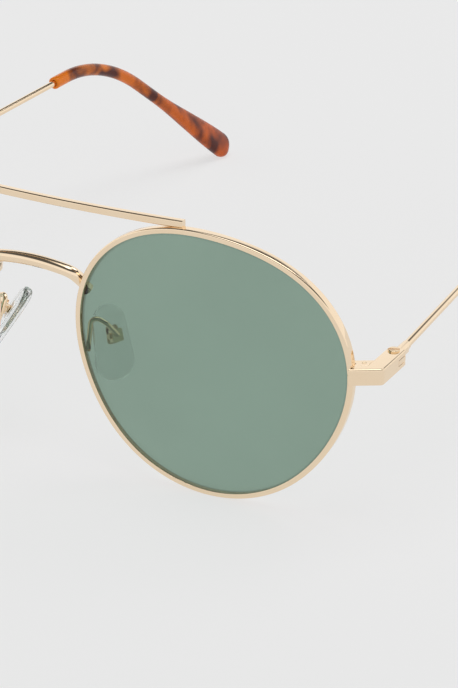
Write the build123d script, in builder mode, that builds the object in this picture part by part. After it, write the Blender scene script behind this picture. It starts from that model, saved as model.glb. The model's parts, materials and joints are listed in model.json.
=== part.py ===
from build123d import *
import os
from math import asin, cos, degrees, hypot, radians, sin, sqrt, tan

os.makedirs("parts", exist_ok=True)

# Double-bridge wire sunglasses, millimetres. X runs towards the wearer's left, Y back towards the ears, Z up
# from the surface that the open glasses stand on. Y = 0 is the front of the brow bar at the middle of the
# face, until the whole set is moved to its own origin at the end. The left half is modelled, and mirrored.

# Lenses and rims
lens_width = 47.68  # across the plain oval, before its upper corners are filled
lens_height = 48.5
inner_corner = 3.2  # how far the upper corner by the nose stands out from the oval
inner_corner_angle = 141.4
inner_corner_sharpness = 3.9
outer_corner = 3.16
outer_corner_angle = 24.5
outer_corner_sharpness = 4.0
outline_steps = 30
lens_gap = 22.36  # between the two plain ovals, across the nose
wrap_angle = 4.3  # each lens plane turns back this much towards the temple
lens_setback = 2.37  # lens centre behind the front of the brow bar
lens_thickness = 1.5
lens_bevel_width = 1.5  # the ring by the edge that carries the tongue
lens_front_radius = 150  # the sphere of the lens front
lens_clearance = 0.05
tongue_width = 0.5  # the bevel round the lens, which sits in the rim's groove
rim_face = 1.0
rim_depth = 1.8
rim_rounding = 0.3
groove_depth = 0.45
groove_clearance = 0.05
rim_split = 0.16
braze_gap = 0.01  # between pieces that are brazed together

# Brow bar and bridge
bar_height = 1.4
bar_depth = 1.35
bar_saddle = 0.25  # how deep the bar is let in over the rims
bar_bow_radius = 261
bar_overhang = 4.65  # the bar ends this far short of the lens centre
bar_rounding = 0.3
bridge_rod = 2.3
bridge_rise = 14.85  # top of the arch above the lens centre
shoulder_inset = 3.0  # the arch's shoulder stands in this far from the lens oval
shoulder_back = 0.3
shoulder_rise = 13.5
foot_inset = 0.9
foot_back = 0.1  # the foot's middle, behind the back of the rim, as well as its own radius
foot_rise = 9.9
bridge_crown_share = 0.815  # share of the straight run from shoulder to top that the crown's bend takes up
bridge_shoulder_radius = 2.6

# Endpieces and closing blocks
end_height = 3.1
end_rise = 4.6  # middle of the endpiece above the lens centre
end_lap = 0.15  # the endpiece starts this far inside the rim's outer edge
end_proud = 1.15  # and stands this far in front of the rim
end_sweep = 30.5  # the endpiece leaves the rim turned back this much
end_plate = 1.65
end_reach = 5.0  # its outer face stands out from the rim
end_corner_radius = 0.9
end_rounding = 0.35
block_depth = 2.0
block_lap = 0.9  # the blocks start this far inside the rim's outer edge
block_screw_radius = 0.4
block_screw_head = 0.65
block_screw_head_height = 0.5

# Hinges
hinge_inset = 1.7  # hinge axis inside the endpiece's outer face
hinge_back = 10.45  # hinge axis behind the start of the endpiece
knuckle_radius = 1.3
hinge_screw_turn = 25
closing_screw_turn = -40
head_rounding = 0.12
knuckle_height = 1.0
knuckle_gap_above = 0.06
knuckle_gap_below = 0.14
heel_gap = 0.05
hinge_screw_radius = 0.55
hinge_screw_clearance = 0.03
hinge_head_radius = 1.05
hinge_head_height = 0.3
slot_width = 0.3
slot_depth = 0.22

# Temples
temple_wire_diameter = 1.4
temple_length = 104.0  # from the hinge axis back to the bend
temple_inward = 3.35  # the bend stands in from the hinge axis
temple_rise = 4.4
tip_reach = 37.2  # from the bend back to the tip's end
tip_inward = 12.9
tip_height = 1.1  # the end's middle above the table, so that the paddle's lower edge rests on it
collar_start = 2.0  # behind the hinge axis
collar_length = 3.6
collar_wall = 0.3
collar_taper = 3
neck_share = 0.7  # half the neck's width, as a share of the collar's radius
socket_depth = 2.2
socket_clearance = 0.02
bend_radius = 34
sleeve_start = 19.0  # before the bend point
sleeve_wall = 0.67
sleeve_clearance = 0.05
paddle_gap = 22.0  # the paddle begins this far beyond the bend point
core_stop = 7.0  # the wire ends this far short of the tip's end
paddle_width = 6.4
paddle_rounding = 1.25

# Nose pads
pad_inset = 0.3  # pad centre outside the lens oval's inner edge
pad_back = 7.9
pad_drop = 2.75  # below the lens centre
pad_splay = 30
pad_tilt = 22
pad_rock = {"left": -7, "right": 14}  # how each pad happens to sit on its pin
pad_length = 14.4
pad_width = 7.7
pad_thickness = 1.9
pad_high_share = 0.82  # the upper end's radius, as a share of the lower end's
pad_rounding = 0.8
mount_rise = 1.6  # the pin stands this far above the middle of the pad
insert_length = 3.4
insert_width = 2.4
insert_thickness = 0.4
insert_rounding = 0.5
lug_width = 0.9
lug_radius = 0.65
box_wall = 0.5
box_length = 2.4
box_clearance = 0.08
box_rounding = 0.3
box_grip = 0.6  # the cheeks pass the pin by this share of the lug's radius
pin_radius = 0.35
pin_head_share = 1.7
pin_head_rounding = 0.15
pin_clearance = 0.02
pin_standoff = 0.95  # pin axis in front of the pad
arm_wire = 0.9
arm_foot_inset = 0.8
arm_foot_gap = 0.2  # the foot's middle behind the back of the rim
arm_foot_drop = 1.85
arm_crest_inset = 1.68
arm_crest_back = 4.4
arm_crest_rise = 4.05
arm_shoulder_outset = 1.12
arm_shoulder_back = 5.2
arm_shoulder_rise = 2.55
arm_bend_radius = 1.1


def polar(radius, angle):
    return (radius * cos(radians(angle)), radius * sin(radians(angle)))


# The lens edge: an oval with its two upper corners filled. The angle runs from the temple side upwards.
def edge_radius(angle):
    half_w, half_h = lens_width / 2, lens_height / 2
    across, up = polar(1, angle)
    radius = half_w * half_h / hypot(half_h * across, half_w * up)
    inner = max(0, cos(radians(angle - inner_corner_angle)))
    outer = max(0, cos(radians(angle - outer_corner_angle)))
    radius += inner_corner * inner**inner_corner_sharpness
    return radius + outer_corner * outer**outer_corner_sharpness


def lens_shape(grow):
    angles = [360 * step / outline_steps for step in range(outline_steps)]
    with BuildSketch() as shape:
        with BuildLine():
            Spline(*[polar(edge_radius(angle) + grow, angle) for angle in angles], periodic=True)
        make_face()
    return shape.sketch


glass_shape = lens_shape(0)
lens_body_shape = lens_shape(-lens_clearance)
tongue_shape = lens_shape(groove_depth - groove_clearance)
groove_shape = lens_shape(groove_depth)
rim_shape = lens_shape(rim_face)
seat_shape = lens_shape(rim_face + braze_gap)

wrap_cos, wrap_sin = polar(1, wrap_angle)
lens_x = (lens_gap + lens_width) / 2
lens_z = lens_height / 2 + rim_face
lens_plane = Plane(
    origin=(lens_x, lens_setback, lens_z),
    x_dir=(wrap_cos, wrap_sin, 0),
    z_dir=(wrap_sin, -wrap_cos, 0),
)

end_middle = lens_z + end_rise
end_low = end_middle - end_height / 2
end_high = end_middle + end_height / 2
oval_inner_x = lens_gap / 2


# The front and back faces of the rim, at a place across the face
def rim_front(x):
    return lens_setback + (x - lens_x) * tan(radians(wrap_angle)) - rim_depth / 2


def rim_back(x):
    return rim_front(x) + rim_depth


with BuildPart() as rim:
    with BuildSketch(lens_plane.offset(-rim_depth / 2)):
        add(rim_shape)
        add(glass_shape, mode=Mode.SUBTRACT)
    extrude(amount=rim_depth)
    outer_edges = rim.edges().sort_by(SortBy.LENGTH)[-2:]
    fillet(outer_edges, radius=rim_rounding)
    with BuildSketch(lens_plane.offset(-tongue_width / 2 - groove_clearance)):
        add(groove_shape)
    extrude(amount=tongue_width + 2 * groove_clearance, mode=Mode.SUBTRACT)
    with Locations((lens_x + lens_width / 2, lens_setback, end_middle)):
        Box(lens_width / 2, 10 * rim_depth, rim_split, mode=Mode.SUBTRACT)

with BuildPart() as lens:
    with BuildSketch(lens_plane.offset(-lens_thickness * 3)):
        add(lens_body_shape)
    extrude(amount=lens_thickness * 6)
    sphere_drop = sqrt(lens_front_radius**2 - (lens_height / 2) ** 2) - lens_thickness / 2
    with Locations(lens_plane.offset(-sphere_drop)):
        Sphere(lens_front_radius, mode=Mode.INTERSECT)
        Sphere(lens_front_radius - lens_thickness, mode=Mode.SUBTRACT)
    with BuildSketch(lens_plane.offset(-tongue_width / 2)):
        add(tongue_shape)
        add(lens_shape(-lens_bevel_width), mode=Mode.SUBTRACT)
    extrude(amount=tongue_width)

# The room taken by a rim and its lens, which the pieces brazed to the rim are cut to fit round
with BuildPart() as rim_seat:
    with BuildSketch(lens_plane.offset(-rim_depth / 2 - braze_gap)):
        add(seat_shape)
    extrude(amount=rim_depth + 2 * braze_gap)
    with BuildSketch(lens_plane.offset(-lens_thickness)):
        add(glass_shape)
    extrude(amount=lens_thickness * 2)

right_seat = mirror(rim_seat.part, about=Plane.YZ)

# The straight upper bar, bowed with the front and let in a little over both rims
bar_bottom = rim.part.bounding_box().max.Z - bar_saddle
bar_angle = degrees((lens_x - bar_overhang) / bar_bow_radius)

with BuildPart() as brow_bar:
    with BuildSketch(Plane.XY.offset(bar_bottom)):
        with BuildLine():
            CenterArc((0, bar_bow_radius), bar_bow_radius, 270 - bar_angle, 2 * bar_angle)
            offset(amount=bar_depth, side=Side.LEFT)
        make_face()
    extrude(amount=bar_height)
    long_edges = brow_bar.edges().sort_by(SortBy.LENGTH)[-4:]
    fillet(long_edges, radius=bar_rounding)
    add(rim_seat.part, mode=Mode.SUBTRACT)
    add(right_seat, mode=Mode.SUBTRACT)


foot_x = oval_inner_x - foot_inset
bridge_foot = (foot_x, rim_back(foot_x) + bridge_rod / 2 + foot_back, lens_z + foot_rise)
shoulder_x = oval_inner_x - shoulder_inset
bridge_shoulder = (shoulder_x, shoulder_back, lens_z + shoulder_rise)
crown_drop = hypot(bridge_rise - shoulder_rise, shoulder_back)
bridge_crown_radius = bridge_crown_share * hypot(shoulder_x, crown_drop) * shoulder_x / crown_drop


# Mirrors a point across the middle of the face
def across_face(point):
    return (-point[0], point[1], point[2])


with BuildPart() as bridge:
    with BuildLine() as bridge_line:
        FilletPolyline(
            across_face(bridge_foot),
            across_face(bridge_shoulder),
            (0, 0, lens_z + bridge_rise),
            bridge_shoulder,
            bridge_foot,
            radius=[bridge_shoulder_radius, bridge_crown_radius, bridge_shoulder_radius],
        )
    with BuildSketch(bridge_line.line ^ 0):
        Circle(bridge_rod / 2)
    sweep()
    add(rim_seat.part, mode=Mode.SUBTRACT)
    add(right_seat, mode=Mode.SUBTRACT)

# Endpiece: a bar that leaves the rim turned back, and then runs straight back to the hinge
sweep_cos, sweep_sin = polar(1, end_sweep)
end_angle = degrees(asin(2 * end_rise / lens_width))
rim_outer_x = lens_x + (edge_radius(end_angle) + rim_face) * cos(radians(end_angle)) * wrap_cos
end_start = (rim_outer_x - end_lap, rim_front(rim_outer_x) - end_proud)
end_outer = rim_outer_x + end_reach
hinge_x = end_outer - hinge_inset
hinge_y = end_start[1] + hinge_back
run_to_corner = (end_outer - end_start[0]) / sweep_cos
end_corner = (end_outer, end_start[1] + run_to_corner * sweep_sin)
plate_step = end_plate / sweep_cos
end_inner = hinge_x - knuckle_radius
inner_corner_y = end_start[1] + plate_step + (end_inner - end_start[0]) * sweep_sin / sweep_cos
end_back = hinge_y + knuckle_radius - heel_gap
slot_front = hinge_y - knuckle_radius - heel_gap
knuckle_low = end_middle - knuckle_height / 2
knuckle_high = knuckle_low + knuckle_height

with BuildPart() as endpiece:
    with BuildSketch(Plane.XY.offset(end_low)) as end_sketch:
        with BuildLine():
            Polyline(
                end_start,
                end_corner,
                (end_outer, end_back),
                (hinge_x, end_back),
                (hinge_x, hinge_y),
                (end_inner, hinge_y),
                (end_inner, inner_corner_y),
                (end_start[0], end_start[1] + plate_step),
                close=True,
            )
        make_face()
        with Locations((hinge_x, hinge_y)):
            Circle(knuckle_radius)
        corner = end_sketch.vertices().sort_by_distance(end_corner)[0]
        fillet(corner, radius=end_corner_radius)
    extrude(amount=end_height)
    outward = Vector(sweep_sin, -sweep_cos, 0)
    shown_faces = endpiece.faces().filter_by(lambda face: face.normal_at().dot(outward) > 0.3)
    fillet(shown_faces.edges().filter_by(Plane.XY), radius=end_rounding)
    add(rim_seat.part, mode=Mode.SUBTRACT)
    with BuildSketch(Plane.XY.offset(knuckle_low - knuckle_gap_below)):
        with Locations(((end_outer + end_inner) / 2, slot_front + knuckle_radius * 2)):
            Rectangle(end_outer - end_inner + 2, knuckle_radius * 4)
    extrude(amount=knuckle_gap_below + knuckle_height + knuckle_gap_above, mode=Mode.SUBTRACT)
    with BuildSketch(Plane.XY.offset(end_low)):
        with Locations((hinge_x, hinge_y)):
            Circle(hinge_screw_radius + hinge_screw_clearance)
    extrude(amount=end_height, mode=Mode.SUBTRACT)


# Closing block: two halves behind the endpiece, one on each cut end of the rim, pulled together by a screw
block_slope = sweep_sin / sweep_cos
block_start_x = rim_outer_x - block_lap
block_start_y = end_start[1] + plate_step + (block_start_x - end_start[0]) * block_slope + braze_gap
block_start = (block_start_x, block_start_y)
block_outer = end_inner - braze_gap
block_rise = (block_outer - block_start[0]) * block_slope
block_back = block_depth / sweep_cos
block_screw_x = (block_outer + rim_outer_x) / 2
block_screw_y = block_start[1] + (block_screw_x - block_start[0]) * block_slope + block_back / 2


def closing_block(low, high, hole):
    with BuildPart() as block:
        with BuildSketch(Plane.XY.offset(low)):
            with BuildLine():
                Polyline(
                    block_start,
                    (block_outer, block_start[1] + block_rise),
                    (block_outer, block_start[1] + block_rise + block_back),
                    (block_start[0], block_start[1] + block_back),
                    close=True,
                )
            make_face()
            with Locations((block_screw_x, block_screw_y)):
                Circle(hole, mode=Mode.SUBTRACT)
        extrude(amount=high - low)
        add(rim_seat.part, mode=Mode.SUBTRACT)
    return block.part


block_upper = closing_block(end_middle + rim_split / 2, end_high, block_screw_radius)
block_lower = closing_block(end_low, end_middle - rim_split / 2, block_screw_radius)


# A slotted cheese-head screw standing on `seat`, with its head above and its shank below
def slotted_screw(center, seat, head_radius, head_height, shank_radius, shank_length, turn):
    with BuildPart() as screw:
        with BuildSketch(Plane.XY.offset(seat)):
            with Locations(center):
                Circle(head_radius)
        extrude(amount=head_height)
        fillet(screw.edges().sort_by(Axis.Z)[-1], radius=head_rounding)
        with BuildSketch(Plane.XY.offset(seat)):
            with Locations(center):
                Circle(shank_radius)
        extrude(amount=-shank_length)
        with BuildSketch(Plane.XY.offset(seat + head_height)):
            with Locations(Location(center, turn)):
                Rectangle(2 * head_radius, slot_width)
        extrude(amount=-slot_depth, mode=Mode.SUBTRACT)
    return screw.part


hinge_screw = slotted_screw(
    (hinge_x, hinge_y, 0),
    end_high,
    hinge_head_radius,
    hinge_head_height,
    hinge_screw_radius,
    end_height,
    hinge_screw_turn,
)
closing_screw_upright = slotted_screw(
    (block_screw_x, block_screw_y, 0),
    end_high,
    block_screw_head,
    block_screw_head_height,
    block_screw_radius,
    end_height,
    closing_screw_turn,
)
closing_screw = mirror(closing_screw_upright, about=Plane.XY.offset(end_middle))  # its head is underneath

# Temple half of the hinge: a knuckle with a heel that stops the open temple, and a socket for the wire
hinge_point = Vector(hinge_x, hinge_y, end_middle)
bend = hinge_point + Vector(-temple_inward, temple_length, temple_rise)
tip = Vector(bend.X - tip_inward, bend.Y + tip_reach, tip_height)
collar_radius = temple_wire_diameter / 2 + socket_clearance + collar_wall
temple_run = (bend - hinge_point).normalized()
temple_plane = Plane(origin=hinge_point, x_dir=(1, 0, 0), z_dir=temple_run)
heel_front = hinge_y - knuckle_radius
heel_outer = end_outer - braze_gap
neck_half = collar_radius * neck_share
collar_end = collar_start + collar_length

with BuildPart() as temple_hinge:
    with BuildSketch(Plane.XY.offset(knuckle_low)):
        with Locations((hinge_x, hinge_y)):
            Circle(knuckle_radius)
        with BuildLine():
            Polyline(
                (hinge_x, heel_front),
                (heel_outer, heel_front),
                (heel_outer, end_back),
                (hinge_x + neck_half, end_back + knuckle_radius / 2),
                (hinge_x + neck_half, hinge_y + collar_end - collar_radius),
                (hinge_x - neck_half, hinge_y + collar_end - collar_radius),
                (hinge_x - neck_half, hinge_y),
                (hinge_x, hinge_y),
                close=True,
            )
        make_face()
    extrude(amount=knuckle_height)
    with BuildSketch(temple_plane.offset(collar_start)):
        Circle(collar_radius)
    extrude(amount=collar_length, taper=collar_taper)
    with BuildSketch(temple_plane.offset(collar_end)):
        Circle(temple_wire_diameter / 2 + socket_clearance)
    extrude(amount=-socket_depth, mode=Mode.SUBTRACT)
    with BuildSketch(Plane.XY.offset(end_low)):
        with Locations((hinge_x, hinge_y)):
            Circle(hinge_screw_radius + hinge_screw_clearance)
    extrude(amount=end_height, mode=Mode.SUBTRACT)

# Temple wire, from its socket round the bend into the tip
wire_start = hinge_point + temple_run * (collar_end - socket_depth + socket_clearance)
tip_run = (tip - bend).normalized()
wire_stop = tip - tip_run * core_stop

with BuildPart() as temple_wire:
    with BuildLine() as wire_line:
        FilletPolyline(wire_start, bend, wire_stop, radius=bend_radius)
    with BuildSketch(wire_line.line ^ 0):
        Circle(temple_wire_diameter / 2)
    sweep()

# Temple tip: a round sleeve over the bend, and beyond it a paddle that widens and stands on its lower edge
mouth = bend - temple_run * sleeve_start
paddle_start = bend + tip_run * paddle_gap
paddle_length = (tip - paddle_start).length
bend_normal = temple_run.cross(tip_run).normalized()
paddle_plane = Plane(origin=paddle_start, x_dir=bend_normal, z_dir=tip_run)
side_plane = Plane(origin=paddle_start, x_dir=tip_run, z_dir=bend_normal)
bore_radius = temple_wire_diameter / 2 + sleeve_clearance
sleeve_radius = bore_radius + sleeve_wall
widest_y = paddle_width / 2
widest_x = paddle_length - widest_y

with BuildPart() as paddle:
    with BuildSketch(side_plane):
        with BuildLine():
            for edge_side in (1, -1):
                Spline(
                    (0, edge_side * sleeve_radius),
                    (widest_x, edge_side * widest_y),
                    tangents=[(1, 0), (1, 0)],
                )
            ThreePointArc((widest_x, widest_y), (paddle_length, 0), (widest_x, -widest_y))
            Line((0, sleeve_radius), (0, -sleeve_radius))
        make_face()
    extrude(amount=sleeve_radius, both=True)
    paddle_faces = paddle.faces().filter_by(lambda face: abs(face.normal_at().dot(bend_normal)) > 0.9)
    start_edges = paddle.faces().sort_by_distance(paddle_start)[0].edges()
    rounded = [edge for edge in paddle_faces.edges() if edge not in start_edges]
    fillet(rounded, radius=paddle_rounding)

with BuildPart() as temple_tip:
    with BuildLine() as sleeve_line:
        FilletPolyline(mouth, bend, paddle_start, radius=bend_radius)
    with BuildSketch(sleeve_line.line ^ 0):
        Circle(sleeve_radius)
        Circle(bore_radius, mode=Mode.SUBTRACT)
    sweep()
    add(paddle.part)
    with BuildSketch(paddle_plane):
        Circle(bore_radius)
    extrude(amount=paddle_length - core_stop + sleeve_clearance, mode=Mode.SUBTRACT)


# Nose pad: its own plane, x across its width towards the lens, y up its length, z towards the nose
def pad_plane_at(center, tilt):
    inward, back = polar(1, pad_splay)
    level, drop = polar(1, tilt)
    toward_nose = Vector(-inward * level, back * level, -drop)
    return Plane(origin=center, x_dir=(-back, -inward, 0), z_dir=toward_nose)


pad_center = (oval_inner_x + pad_inset, pad_back, lens_z - pad_drop)
mount_plane = pad_plane_at(pad_center, pad_tilt)
pin_depth = pad_thickness / 2 + pin_standoff
pin_plane = Plane(
    origin=mount_plane.from_local_coords((0, mount_rise, -pin_depth)),
    x_dir=mount_plane.y_dir,
    z_dir=mount_plane.x_dir,
)
slot_half = lug_width / 2 + box_clearance
box_half = slot_half + box_wall
box_front = pin_depth + lug_radius + box_clearance + box_wall
box_mouth = pin_depth - lug_radius * box_grip

# Box on the arm: two cheeks and a back, with the lug of the pad between the cheeks
with BuildPart() as pad_box:
    with BuildSketch(mount_plane.offset(-box_front)):
        with Locations((0, mount_rise)):
            Rectangle(2 * box_half, box_length)
    extrude(amount=box_front - box_mouth)
    fillet(pad_box.edges().filter_by(Axis(pin_plane.origin, mount_plane.z_dir)), radius=box_rounding)
    with BuildSketch(mount_plane.offset(box_wall - box_front)):
        with Locations((0, mount_rise)):
            Rectangle(2 * slot_half, box_length * 2)
    extrude(amount=box_front, mode=Mode.SUBTRACT)
    with BuildSketch(pin_plane.offset(-box_half)):
        Circle(pin_radius)
    extrude(amount=2 * box_half, mode=Mode.SUBTRACT)

# Pin with a small domed head outside one cheek
with BuildPart() as pad_pin:
    with BuildSketch(pin_plane.offset(-box_half)):
        Circle(pin_radius)
    extrude(amount=2 * box_half)
    with BuildSketch(pin_plane.offset(box_half)):
        Circle(pin_radius * pin_head_share)
    extrude(amount=pin_radius)
    pin_top = pin_plane.from_local_coords((0, 0, box_half + pin_radius))
    fillet(pad_pin.faces().sort_by_distance(pin_top)[0].edges(), radius=pin_head_rounding)

# Arm: a wire from the back of the rim, over a crest and down into the back of the box
arm_foot_x = oval_inner_x - arm_foot_inset
arm_foot = (arm_foot_x, rim_back(arm_foot_x) + arm_foot_gap, lens_z - arm_foot_drop)
arm_crest = (oval_inner_x - arm_crest_inset, arm_crest_back, lens_z + arm_crest_rise)
arm_shoulder = (oval_inner_x + arm_shoulder_outset, arm_shoulder_back, lens_z + arm_shoulder_rise)
arm_end = mount_plane.from_local_coords((0, mount_rise, -box_front - braze_gap))
with BuildPart() as pad_arm:
    with BuildLine() as arm_line:
        FilletPolyline(arm_foot, arm_crest, arm_shoulder, arm_end, radius=arm_bend_radius)
    with BuildSketch(arm_line.line ^ 0):
        Circle(arm_wire / 2)
    sweep()
    add(rim_seat.part, mode=Mode.SUBTRACT)
    with BuildSketch(mount_plane.offset(-box_front - braze_gap)):
        with Locations((0, mount_rise)):
            Rectangle(2 * box_half, box_length)
    extrude(amount=arm_wire, mode=Mode.SUBTRACT)


# Insert: a plate let into the pad, with a lug that turns on the pin
with BuildPart() as pad_insert:
    with BuildSketch(mount_plane.offset(-pad_thickness / 2)):
        with Locations((0, mount_rise)):
            RectangleRounded(insert_width, insert_length, insert_rounding)
    extrude(amount=insert_thickness)
    with BuildSketch(pin_plane.offset(-lug_width / 2)):
        Circle(lug_radius)
        with Locations((0, pin_standoff / 2)):
            Rectangle(2 * lug_radius, pin_standoff)
    extrude(amount=lug_width)
    with BuildSketch(pin_plane.offset(-lug_width / 2)):
        Circle(pin_radius + pin_clearance)
    extrude(amount=lug_width, mode=Mode.SUBTRACT)

# Pad: a soft egg, wider at its lower end, rounded all round, with a pocket for the insert
low_radius = pad_width / 2
high_radius = low_radius * pad_high_share
with BuildPart() as nose_pad:
    with BuildSketch(mount_plane.offset(-pad_thickness / 2)):
        with Locations((0, low_radius - pad_length / 2)):
            Circle(low_radius)
        with Locations((0, pad_length / 2 - high_radius)):
            Circle(high_radius)
        make_hull()
    extrude(amount=pad_thickness)
    pad_faces = nose_pad.faces().filter_by(Axis(pin_plane.origin, mount_plane.z_dir))
    fillet(pad_faces.edges(), radius=pad_rounding)
    with BuildSketch(mount_plane.offset(-pad_thickness / 2)):
        with Locations((0, mount_rise)):
            RectangleRounded(insert_width + 2 * braze_gap, insert_length + 2 * braze_gap, insert_rounding)
    extrude(amount=insert_thickness + braze_gap, mode=Mode.SUBTRACT)

# The set: the two middle pieces, and each side's pieces, with the wearer's right mirrored from the left
pin_axis = Axis(origin=pin_plane.origin, direction=mount_plane.x_dir)
paired = {
    "rim": rim.part,
    "lens": lens.part,
    "endpiece": endpiece.part,
    "closing_block_upper": block_upper,
    "closing_block_lower": block_lower,
    "closing_screw": closing_screw,
    "hinge_screw": hinge_screw,
    "pad_arm": pad_arm.part,
    "pad_box": pad_box.part,
    "pad_pin": pad_pin.part,
    "temple_hinge": temple_hinge.part,
    "temple_wire": temple_wire.part,
    "temple_tip": temple_tip.part,
}
pieces = {"brow_bar": brow_bar.part, "bridge": bridge.part}
for side in ("left", "right"):
    rocking = {
        "pad_insert": pad_insert.part.rotate(pin_axis, pad_rock[side]),
        "nose_pad": nose_pad.part.rotate(pin_axis, pad_rock[side]),
    }
    for name, piece in (paired | rocking).items():
        pieces[f"{name}_{side}"] = piece if side == "left" else mirror(piece, about=Plane.YZ)

# The origin is the middle of the set's footprint, at the height that it stands on
boxes = [piece.bounding_box() for piece in pieces.values()]
front = min(box.min.Y for box in boxes)
back = max(box.max.Y for box in boxes)
ground = min(box.min.Z for box in boxes)
to_origin = Location((0, -(front + back) / 2, -ground))
for name, piece in pieces.items():
    placed = piece.moved(to_origin)
    placed.label = name
    export_step(placed, f"parts/{name}.step")
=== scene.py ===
import json
from math import asin, cos, hypot, pi, radians, sin, sqrt

import bmesh
import bpy
import numpy as np
from mathutils import Matrix, Vector


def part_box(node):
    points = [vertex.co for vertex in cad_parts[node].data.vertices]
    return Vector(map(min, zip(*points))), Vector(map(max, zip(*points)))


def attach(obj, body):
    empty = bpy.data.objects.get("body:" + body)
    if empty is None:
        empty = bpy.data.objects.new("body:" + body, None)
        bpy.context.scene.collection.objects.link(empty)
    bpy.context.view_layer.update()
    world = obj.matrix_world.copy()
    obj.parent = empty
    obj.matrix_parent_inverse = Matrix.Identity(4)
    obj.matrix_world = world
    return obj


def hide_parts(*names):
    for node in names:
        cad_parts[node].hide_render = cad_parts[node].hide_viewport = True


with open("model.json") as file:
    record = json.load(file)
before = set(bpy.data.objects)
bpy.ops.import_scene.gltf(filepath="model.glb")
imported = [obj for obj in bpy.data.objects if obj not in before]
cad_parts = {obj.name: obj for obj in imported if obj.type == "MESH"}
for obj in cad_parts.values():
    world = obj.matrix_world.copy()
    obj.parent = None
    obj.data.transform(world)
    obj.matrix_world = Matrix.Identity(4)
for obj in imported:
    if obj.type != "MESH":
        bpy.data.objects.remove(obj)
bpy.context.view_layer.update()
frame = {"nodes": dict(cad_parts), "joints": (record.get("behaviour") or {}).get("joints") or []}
scene = bpy.context.scene
mm = 0.001
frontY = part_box("brow_bar")[0].y  # front of the brow bar at the middle of the face
jointAt = {joint["name"]: Vector(joint["pos_m"]) for joint in frame["joints"]}
sides = {"left": 1, "right": -1}  # the wearer's left is +X
print("frame loaded,", len(frame["nodes"]), "nodes")


def inFrame(x, y, z, side=1):  # millimetres behind the brow bar's front, to metres in the shared frame
    return Vector((side * x * mm, frontY + y * mm, z * mm))


# Camera
camera = {
    "azimuth": 30.18,
    "elevation": 25.89,
    "roll": -0.65,
    "lens": 107.62,
    "sensor": 36,
    "nearest": 0.01,
    "place": (0.19986, frontY - 0.27441, 0.18631),
}
azimuth, elevation, roll = (radians(camera[name]) for name in ("azimuth", "elevation", "roll"))
backward = Vector((sin(azimuth) * cos(elevation), -cos(azimuth) * cos(elevation), sin(elevation)))
level = Vector((cos(azimuth), sin(azimuth), 0))
upright = backward.cross(level)
cameraRight = level * cos(roll) + upright * sin(roll)
cameraUp = upright * cos(roll) - level * sin(roll)
cameraData = bpy.data.cameras.new("portraitCamera")
cameraData.lens = camera["lens"]
cameraData.sensor_width = camera["sensor"]
cameraData.clip_start = camera["nearest"]
cameraObject = bpy.data.objects.new("portraitCamera", cameraData)
turn = Matrix((cameraRight, cameraUp, backward)).transposed().to_4x4()
cameraObject.matrix_world = Matrix.Translation(camera["place"]) @ turn
scene.collection.objects.link(cameraObject)
scene.camera = cameraObject
scene.view_settings.view_transform = "Standard"

# Studio: a pale floor that glows a little, a bright ceiling panel, a dim band round it and bright low walls
studio = {
    "floorColor": (0.26, 0.26, 0.26, 1),
    "floorGlow": 0.617,
    "floorReach": 4,
    "wallLight": 1.0,
    "bandLight": 0.10,
    "panelLight": 2.6,
    "bandFrom": 0.56,  # sine of the elevation where the dim band begins
    "bandTo": 0.94,
    "softness": 0.05,
    "keyPlace": (0.35, 0.7, 1.1),
    "keySize": 0.5,
    "keyPower": 2.0,
}


def link(tree, value, socket):  # a plain value is set on the socket, an output is linked to it
    if isinstance(value, bpy.types.NodeSocket):
        tree.links.new(value, socket)
    elif value is not None:
        socket.default_value = value


def node(tree, kind, inputs=None, **settings):
    made = tree.nodes.new(kind)
    for name, value in settings.items():
        setattr(made, name, value)
    for name, value in (inputs or {}).items():
        link(tree, value, made.inputs[name])
    return made


def calc(tree, operation, *values, clamp=False):
    made = tree.nodes.new("ShaderNodeMath")
    made.operation = operation
    made.use_clamp = clamp
    for index, value in enumerate(values):
        link(tree, value, made.inputs[index])
    return made.outputs[0]


def buildWorld():
    world = bpy.data.worlds.new("studioWorld")
    world.use_nodes = True
    tree = world.node_tree
    tree.nodes.clear()
    direction = node(tree, "ShaderNodeTexCoord").outputs["Generated"]
    height = node(tree, "ShaderNodeSeparateXYZ", {0: direction}).outputs["Z"]
    edge = studio["softness"]

    def ramp(start, low, high):
        limits = {"From Min": start - edge, "From Max": start + edge, "To Min": low, "To Max": high}
        steps = {"Value": height, **limits}
        return node(tree, "ShaderNodeMapRange", steps, interpolation_type="SMOOTHSTEP").outputs[0]

    band = ramp(studio["bandFrom"], studio["wallLight"], studio["bandLight"])
    panel = ramp(studio["bandTo"], 0, studio["panelLight"] - studio["bandLight"])
    light = calc(tree, "ADD", band, panel)
    surface = node(tree, "ShaderNodeBackground", {"Color": (1, 1, 1, 1), "Strength": light})
    node(tree, "ShaderNodeOutputWorld", {"Surface": surface.outputs[0]})
    scene.world = world


buildWorld()
keyData = bpy.data.lights.new("keyPanel", "AREA")
keyData.shape = "SQUARE"
keyData.size = studio["keySize"]
keyData.energy = studio["keyPower"]
keyObject = bpy.data.objects.new("keyPanel", keyData)
keyObject.location = studio["keyPlace"]
keyObject.rotation_euler = (-Vector(studio["keyPlace"])).to_track_quat("-Z", "Y").to_euler()
scene.collection.objects.link(keyObject)

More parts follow.
